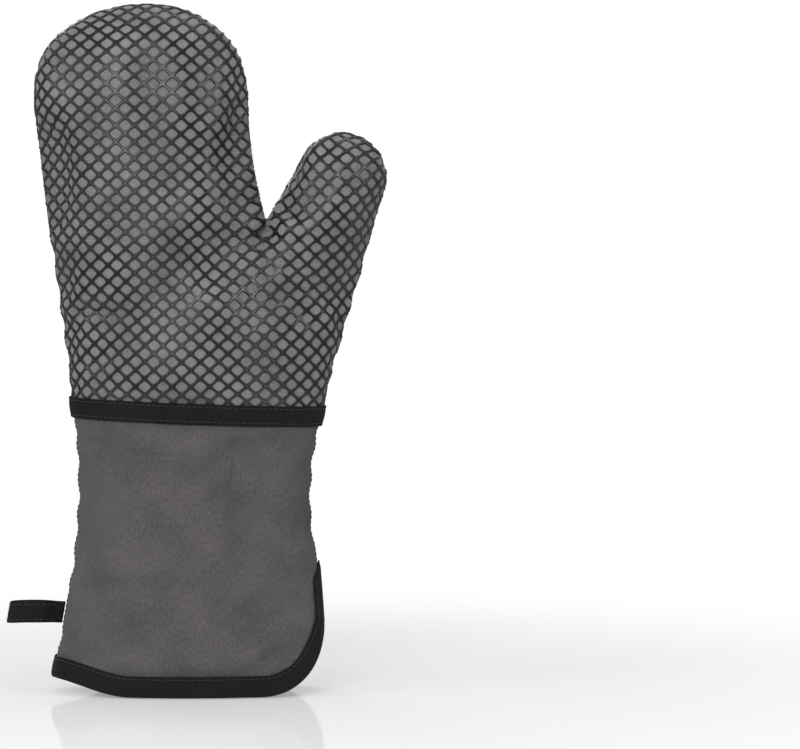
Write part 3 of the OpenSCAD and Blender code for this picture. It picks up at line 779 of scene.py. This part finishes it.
pieces["seamThread"] = stitchRow("seamThread", [row], 2.9, 2.4, 0.22)

hem = {"leg": 10, "steps": 96, "slitSteps": 12, "stitch": 1.6}
clothIn = 0.8 + cloth["thick"] + fill["hem"] + lining["thick"] + 0.5
hemShape = [(0.28, 9.6), (-0.25, 10.05), (-0.62, 9.75), (-0.72, 9.1), (-0.58, 8.4), (-0.74, 7.6),
            (-0.92, 5.5), (-0.95, 3), (-0.85, 1), (-0.6, -0.5), (-0.1, -1.3), (0.8, -1.5),
            (3.3, -1.5), (clothIn - 0.4, -1.5), (clothIn + 0.5, -1.3), (clothIn + 1, -0.4),
            (clothIn + 1.2, 2), (clothIn + 1.2, 5.5), (clothIn + 1, 9.1), (clothIn + 0.6, 10),
            (clothIn + 0.05, 9.6), (clothIn + 0.05, 0), (3.3, -0.6), (0.28, 0)]
hemStations = [(pi * k / hem["steps"], hemAt((1 - cos(pi * k / hem["steps"])) / 2))
               for k in range(hem["steps"] + 1)]
cornerTop = hemStations[-1][1]
hemStations += [(pi, mix(cornerTop, m["slitHeight"] - 0.7, k / hem["slitSteps"]))
                for k in range(1, hem["slitSteps"] + 1)]


def outerPoint(o, angle, z):
    s = (1 - cos(angle)) / 2
    left, right = curve(leftEdge, z) + o, curve(rightEdge, z) - o
    return Vector((mix(left, right, s), -(curve(halfDepth, z) - o) * sin(angle)
                   - slitGap(z) * smooth((s - 0.7) / 0.3), z))


def stretch(angle, z):
    return hypot((curve(rightEdge, z) - curve(leftEdge, z)) / 2 * sin(angle),
                 curve(halfDepth, z) * cos(angle))


def hemPoint(i, o, h):
    n = len(hemStations)
    angle, z = hemStations[i]
    scale = stretch(angle, z)
    a, b = hemStations[max(i - 2, 0)], hemStations[min(i + 2, n - 1)]
    path = Vector(((b[0] - a[0]) * scale, b[1] - a[1])).normalized() if i else Vector((1, 0))
    if o > 1:
        o += battingAt(z + max(h, 0)) - fill["hem"]
    p = outerPoint(o, angle - h * path[1] / scale, z + h * path[0])
    p[1] = min(p[1], -0.05)
    return p


front = [[hemPoint(i, o, h) for o, h in hemShape] for i in range(len(hemStations))]
front[0] = [Vector((p[0], 0, p[2])) for p in front[0]]
slitRing = []
for o, h in hemShape:
    o += battingAt(60) - fill["hem"] if o > 1 else 0
    p = outerPoint(o, pi, m["slitHeight"] + h * 0.8)
    slitRing.append(Vector((p[0], 0, p[2])))
rings = front + [slitRing] + [[Vector((p[0], -p[1], p[2])) for p in r] for r in front[:0:-1]]
pieces["hemBinding"] = sweepPiece("hemBinding", rings, True, lengths([r[7] for r in rings]))
row = []
for i in range(1, len(hemStations)):
    p = hemPoint(i, -0.72, hem["leg"] - hem["stitch"])
    row.append((p, outwards(p)))
rowBack = [(Vector((p[0], -p[1], p[2])), Vector((o[0], -o[1], 0))) for p, o in row]
pieces["hemStitching"] = stitchRow("hemStitching", [row, rowBack])
print("bindings ready")

# hanging loop
loop = {"hinge": -72.143, "far": -100.593, "mid": 4.4, "thick": 1.3, "width": 11.5, "height": 43,
        "lean": 0.1751, "stitch": 1.6, "legSteps": 26, "turnSteps": 14}
reach = loop["hinge"] - (loop["far"] + loop["mid"])
legShape = [(-1.3, 0.45), (0, 0.70), (4, 1.05), (10, 3.74), (reach, loop["mid"])]
loopLine = []
for k in range(loop["legSteps"]):
    d = mix(-1.1, reach, k / loop["legSteps"])
    loopLine.append((loop["hinge"] - d, curve(legShape, d)))
for k in range(loop["turnSteps"] + 1):
    a = pi / 2 * k / loop["turnSteps"]
    loopLine.append((loop["far"] + loop["mid"] * (1 - sin(a)), loop["mid"] * cos(a)))
loopLine += [(x, -y) for x, y in loopLine[-2::-1]]
t, w = loop["thick"] / 2, loop["width"] / 2
loopShape = [(t * 0.5, -w), (t * 0.95, -w + 0.5), (t * 0.8, -w + 1.6), (t, -w + 2.6), (t * 1.05, 0),
             (t, w - 2.6), (t * 0.8, w - 1.6), (t * 0.95, w - 0.5), (t * 0.5, w), (-t * 0.5, w),
             (-t * 0.95, w - 0.5), (-t, 0), (-t * 0.95, -w + 0.5), (-t * 0.5, -w)]


def loopFrame(i):
    a, b = loopLine[max(i - 1, 0)], loopLine[min(i + 1, len(loopLine) - 1)]
    go = Vector((b[0] - a[0], b[1] - a[1])).normalized()
    return Vector((loopLine[i][0], loopLine[i][1], 0)), Vector((go[1], -go[0], 0))


def loopPoint(i, lift, h):
    p, out = loopFrame(i)
    thin = min(1, 0.35 + 0.5 * min(i, len(loopLine) - 1 - i))
    p = p + out * lift * thin
    arch = 0.9 * sin(pi * min(1, (loop["hinge"] - p[0]) / 30)) - 0.5
    return Vector((p[0] + loop["lean"] * h, p[1], loop["height"] + h + arch * 0.5))


rings = [[loopPoint(i, lift, h) for lift, h in loopShape] for i in range(len(loopLine))]
pieces["hangingLoop"] = sweepPiece("hangingLoop", rings, False, lengths([r[4] for r in rings]))
rows = []
for h in (-w + loop["stitch"], w - loop["stitch"]):
    rows.append([(loopPoint(i, t + 0.12, h), loopFrame(i)[1]) for i in range(4, len(loopLine) - 4)])
pieces["loopStitching"] = stitchRow("loopStitching", rows)
print("loop ready")


# finishes
def weaveGroup():  # crossed threads on the flat pattern, with flecks from uneven yarn
    tree = bpy.data.node_groups.new("weave", "ShaderNodeTree")
    face = tree.interface
    for label, value in (("Threads", 160), ("Fleck Size", 40), ("Fleck Stretch", 6)):
        face.new_socket(label, in_out="INPUT", socket_type="NodeSocketFloat").default_value = value
    for label in ("Height", "Fleck", "Mottle"):
        face.new_socket(label, in_out="OUTPUT", socket_type="NodeSocketFloat")
    into, out = addNode(tree, "NodeGroupInput"), addNode(tree, "NodeGroupOutput")
    link = tree.links.new
    flat = addNode(tree, "ShaderNodeUVMap", uv_map="flat")
    parts = addNode(tree, "ShaderNodeSeparateXYZ")
    link(flat.outputs[0], parts.inputs[0])
    waves = []
    for axis in (0, 1):
        turn = addNode(tree, "ShaderNodeMath", operation="MULTIPLY")
        link(parts.outputs[axis], turn.inputs[0])
        link(into.outputs["Threads"], turn.inputs[1])
        full = addNode(tree, "ShaderNodeMath", operation="MULTIPLY")
        link(turn.outputs[0], full.inputs[0])
        full.inputs[1].default_value = 2 * pi
        wave = addNode(tree, "ShaderNodeMath", operation="SINE")
        link(full.outputs[0], wave.inputs[0])
        waves.append(wave)
    over = addNode(tree, "ShaderNodeMath", operation="MULTIPLY")
    link(waves[0].outputs[0], over.inputs[0])
    link(waves[1].outputs[0], over.inputs[1])
    high = addNode(tree, "ShaderNodeMapRange")
    link(over.outputs[0], high.inputs[0])
    high.inputs[1].default_value = -1
    link(high.outputs[0], out.inputs["Height"])
    mapping = addNode(tree, "ShaderNodeMapping")
    link(flat.outputs[0], mapping.inputs[0])
    size = addNode(tree, "ShaderNodeCombineXYZ")
    tall = addNode(tree, "ShaderNodeMath", operation="MULTIPLY")
    link(into.outputs["Fleck Size"], tall.inputs[0])
    link(into.outputs["Fleck Stretch"], tall.inputs[1])
    link(tall.outputs[0], size.inputs[0])
    link(into.outputs["Fleck Size"], size.inputs[1])
    link(size.outputs[0], mapping.inputs["Scale"])
    fleck = addNode(tree, "ShaderNodeTexNoise")
    fleck.inputs["Scale"].default_value = 1
    fleck.inputs["Detail"].default_value = 3
    link(mapping.outputs[0], fleck.inputs["Vector"])
    link(fleck.outputs["Fac"], out.inputs["Fleck"])
    mottle = addNode(tree, "ShaderNodeTexNoise")
    mottle.inputs["Scale"].default_value = 3.5
    mottle.inputs["Detail"].default_value = 4
    link(flat.outputs[0], mottle.inputs["Vector"])
    link(mottle.outputs["Fac"], out.inputs["Mottle"])
    return tree


weave = weaveGroup()


def newMaterial(name, roughness):
    material = bpy.data.materials.new(name)
    material.use_nodes = True
    tree = material.node_tree
    shader = tree.nodes["Principled BSDF"]
    shader.inputs["Roughness"].default_value = roughness
    return material, tree, shader


def clothMaterial(name, dark, light, threads, fleckSize, stretchBy, bump, sheen, roughness=0.88):
    material, tree, shader = newMaterial(name, roughness)
    link = tree.links.new
    group = addNode(tree, "ShaderNodeGroup", (-900, 0), node_tree=weave)
    group.inputs["Threads"].default_value = threads
    group.inputs["Fleck Size"].default_value = fleckSize
    group.inputs["Fleck Stretch"].default_value = stretchBy
    both = addNode(tree, "ShaderNodeMath", (-650, 100), operation="ADD")
    link(group.outputs["Fleck"], both.inputs[0])
    link(group.outputs["Mottle"], both.inputs[1])
    ramp = addNode(tree, "ShaderNodeMapRange", (-450, 100))
    ramp.inputs[1].default_value, ramp.inputs[2].default_value = 0.75, 1.25
    link(both.outputs[0], ramp.inputs[0])
    colour = addNode(tree, "ShaderNodeMix", (-250, 100), data_type="RGBA")
    colour.inputs[6].default_value = (*dark, 1)
    colour.inputs[7].default_value = (*light, 1)
    link(ramp.outputs[0], colour.inputs[0])
    link(colour.outputs[2], shader.inputs["Base Color"])
    height = addNode(tree, "ShaderNodeMath", (-450, -200), operation="ADD")
    link(group.outputs["Height"], height.inputs[0])
    link(group.outputs["Fleck"], height.inputs[1])
    rise = addNode(tree, "ShaderNodeBump", (-250, -200))
    rise.inputs["Strength"].default_value = bump
    rise.inputs["Distance"].default_value = 0.0003
    link(height.outputs[0], rise.inputs["Height"])
    link(rise.outputs[0], shader.inputs["Normal"])
    shader.inputs["Sheen Weight"].default_value = sheen
    shader.inputs["Sheen Roughness"].default_value = 0.5
    return material


handFinish = clothMaterial("handCloth", (0.125, 0.125, 0.122), (0.255, 0.255, 0.248), 120, 95, 1, 0.5, 0.1)
cuffFinish = clothMaterial("cuffCloth", (0.062, 0.058, 0.057), (0.118, 0.108, 0.107), 210, 45, 2, 0.6, 0.12)
liningFinish = clothMaterial("liningCloth", (0.30, 0.29, 0.28), (0.40, 0.39, 0.38), 120, 50, 1, 0.5, 0.1)
battingFinish = clothMaterial("battingFill", (0.75, 0.74, 0.70), (0.86, 0.85, 0.82), 30, 90, 1, 0.8, 0.2)
cuffTree = cuffFinish.node_tree  # painted shade: the cuff colour is darkened where the cloth turns away from the camera
cuffShader = cuffTree.nodes["Principled BSDF"]
cuffEdgeShadeMask = addNode(cuffTree, "ShaderNodeLayerWeight", (-200, 500))
cuffEdgeShadeMask.inputs["Blend"].default_value = 0.38
cuffPaintedShade = addNode(cuffTree, "ShaderNodeMix", (0, 500), data_type="RGBA")
# painted shade colour for the cuff's turned-away sides
cuffPaintedShade.inputs[7].default_value = (0.026, 0.027, 0.026, 1)
cuffTree.links.new(cuffEdgeShadeMask.outputs["Facing"], cuffPaintedShade.inputs[0])
cuffTree.links.new(cuffShader.inputs["Base Color"].links[0].from_socket, cuffPaintedShade.inputs[6])
cuffTree.links.new(cuffPaintedShade.outputs[2], cuffShader.inputs["Base Color"])
tapeFinish = clothMaterial("tape", (0.004, 0.004, 0.0045), (0.010, 0.010, 0.011), 170, 80, 1, 0.5, 0, 0.9)
threadFinish = clothMaterial("thread", (0.006, 0.006, 0.007), (0.016, 0.016, 0.018), 300, 200, 1, 0.3, 0.1, 0.6)
tapeFinish.node_tree.nodes["Principled BSDF"].inputs["Specular IOR Level"].default_value = 0.25


def siliconeMaterial():
    material, tree, shader = newMaterial("silicone", 0.4)
    link = tree.links.new
    rib = addNode(tree, "ShaderNodeAttribute", (-900, 200), attribute_name="ribTop")
    dust = addNode(tree, "ShaderNodeTexNoise", (-900, -100))
    dust.inputs["Scale"].default_value = 90
    dust.inputs["Detail"].default_value = 4
    geometry = addNode(tree, "ShaderNodeTexCoord", (-1100, -100))
    link(geometry.outputs["Object"], dust.inputs["Vector"])
    colour = addNode(tree, "ShaderNodeMix", (-400, 200), data_type="RGBA")
    colour.inputs[6].default_value = (0.004, 0.004, 0.004, 1)
    # the paler colour is the painted reflection on the rib tops
    colour.inputs[7].default_value = (0.085, 0.085, 0.082, 1)
    glintBands = addNode(tree, "ShaderNodeTexNoise", (-900, 400))  # painted reflection: rib tops made paler in broad tilted bands, standing in for the lamps' glint on the glossy silicone
    glintBands.inputs["Scale"].default_value = 26
    glintBands.inputs["Detail"].default_value = 1
    glintBandTilt = addNode(tree, "ShaderNodeMapping", (-1100, 400))
    glintBandTilt.inputs["Rotation"].default_value = (0, 0.45, 0)
    glintBandTilt.inputs["Scale"].default_value = (1, 1, 0.45)
    link(geometry.outputs["Object"], glintBandTilt.inputs["Vector"])
    link(glintBandTilt.outputs[0], glintBands.inputs["Vector"])
    glintBandMask = addNode(tree, "ShaderNodeMapRange", (-700, 400), interpolation_type="SMOOTHSTEP")
    glintBandMask.inputs[1].default_value, glintBandMask.inputs[2].default_value = 0.42, 0.62
    link(glintBands.outputs["Fac"], glintBandMask.inputs[0])
    paintedGlint = addNode(tree, "ShaderNodeMath", (-550, 300), operation="MULTIPLY")
    link(glintBandMask.outputs[0], paintedGlint.inputs[0])
    top = addNode(tree, "ShaderNodeMapRange", (-700, 600), interpolation_type="SMOOTHSTEP")
    top.inputs[1].default_value, top.inputs[2].default_value = 0.88, 0.97
    link(rib.outputs["Fac"], top.inputs[0])
    link(top.outputs[0], paintedGlint.inputs[1])
    link(paintedGlint.outputs[0], colour.inputs[0])
    link(colour.outputs[2], shader.inputs["Base Color"])
    rough = addNode(tree, "ShaderNodeMapRange", (-400, -50))
    rough.inputs[3].default_value, rough.inputs[4].default_value = 0.26, 0.42
    link(dust.outputs["Fac"], rough.inputs[0])
    link(rough.outputs[0], shader.inputs["Roughness"])
    skin = addNode(tree, "ShaderNodeTexNoise", (-650, -350))
    skin.inputs["Scale"].default_value = 1500
    link(geometry.outputs["Object"], skin.inputs["Vector"])
    rise = addNode(tree, "ShaderNodeBump", (-400, -350))
    rise.inputs["Strength"].default_value = 0.15
    rise.inputs["Distance"].default_value = 0.0002
    link(skin.outputs["Fac"], rise.inputs["Height"])
    link(rise.outputs[0], shader.inputs["Normal"])
    shader.inputs["IOR"].default_value = 1.5
    return material


siliconeFinish = siliconeMaterial()


def dress(piece, finish, slot, body, *nodes):
    piece.data.materials.clear()
    piece.data.materials.append(finish)
    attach(piece, body)
    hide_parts(*nodes)


for side in ("front", "back"):
    dress(silicone[side], siliconeFinish, "silicone", "mitt", "silicone_grip_" + side)
    dress(outer[side, "hand"], handFinish, "hand_cloth", "mitt", "hand_shell_" + side)
    dress(outer[side, "cuff"], cuffFinish, "cuff_cloth", "mitt", "cuff_panel_" + side)
    dress(batting[side], battingFinish, "batting", "mitt", "batting_" + side)
    dress(liningPiece[side], liningFinish, "lining_cloth", "mitt", "lining_" + side)
    dress(pieces["wristBinding_" + side], tapeFinish, "tape", "mitt", "wrist_binding_" + side)
    dress(pieces["wristStitching_" + side], threadFinish, "thread", "mitt", "wrist_stitching_" + side)
dress(pieces["hemBinding"], tapeFinish, "tape", "mitt", "hem_binding")
dress(pieces["hemStitching"], threadFinish, "thread", "mitt", "hem_stitching")
dress(pieces["hangingLoop"], tapeFinish, "tape", "loop", "hanging_loop")
dress(pieces["loopStitching"], threadFinish, "thread", "loop", "loop_stitching")
dress(pieces["seamThread"], threadFinish, "thread", "mitt", "side_seam_thread")
print("pieces dressed")
